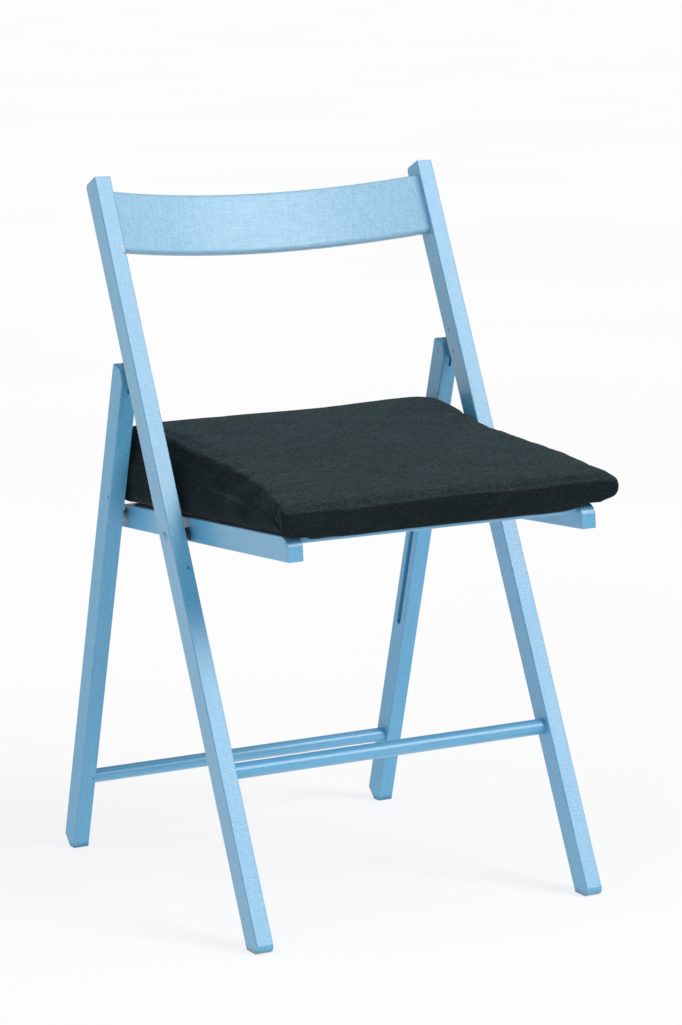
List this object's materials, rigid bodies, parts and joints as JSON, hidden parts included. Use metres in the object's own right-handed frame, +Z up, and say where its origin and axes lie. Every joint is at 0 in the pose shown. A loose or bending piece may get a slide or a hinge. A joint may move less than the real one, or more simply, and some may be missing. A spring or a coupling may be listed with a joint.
{
  "type": "folding chair",
  "caption": "Painted wooden folding chair with a slatted seat, a curved back panel and a wedge-shaped fabric seat cushion.",
  "frame": {"origin": "on the floor, on the chair's middle plane, halfway between the front of the seat and the back of the rear feet", "axes": "+Z up, the sitter faces -Y, +X to the left hand of the sitter"},
  "size_m": [0.42, 0.5182, 0.7704],
  "materials": {
    "painted_wood": "satin light blue paint, brushed on",
    "plated_steel": "dull zinc plate",
    "painted_steel": "steel bolt heads painted over with the frame",
    "spacer_plastic": "black moulded spacer",
    "cover_fabric": "dark grey-green woven cover",
    "base_fabric": "brown-black underside cloth",
    "foam": "open-cell foam"
  },
  "bodies": {
    "front_frame": {"left_post": "painted_wood", "right_post": "painted_wood", "backrest_panel": "painted_wood", "front_stretcher": "painted_wood", "left_hinge_plate": "plated_steel", "right_hinge_plate": "plated_steel", "hinge_plate_pins": "plated_steel", "panel_brads": "plated_steel", "seat_pivot_bolts": "painted_steel", "pivot_spacers": "spacer_plastic", "pivot_nuts": "plated_steel"},
    "rear_frame": {"left_rear_leg": "painted_wood", "right_rear_leg": "painted_wood", "rear_stretcher": "painted_wood", "leg_hinge_pins": "plated_steel"},
    "seat": {"left_seat_rail": "painted_wood", "right_seat_rail": "painted_wood", "front_slat": "painted_wood", "second_slat": "painted_wood", "third_slat": "painted_wood", "fourth_slat": "painted_wood", "fifth_slat": "painted_wood", "rear_slat": "painted_wood", "slide_pins": "plated_steel", "slide_pin_washers": "plated_steel", "cushion_base": "base_fabric", "cushion_cover": "cover_fabric", "cushion_foam": "foam"}
  },
  "joints": [
    {"name": "seat_fold", "type": "hinge", "parent": "front_frame", "child": "seat", "pos_m": [0, -0.03002, 0.40325], "axis": [-1, 0, 0], "range_deg": [0, 101.9]},
    {"name": "rear_leg_fold", "type": "hinge", "parent": "front_frame", "child": "rear_frame", "pos_m": [0, 0.08126, 0.55979], "axis": [-1, 0, 0], "range_deg": [0, 41.7]}
  ],
  "couplings": [
    {"joint": "rear_leg_fold", "follows": "seat_fold", "ratio": 0.40892}
  ]
}
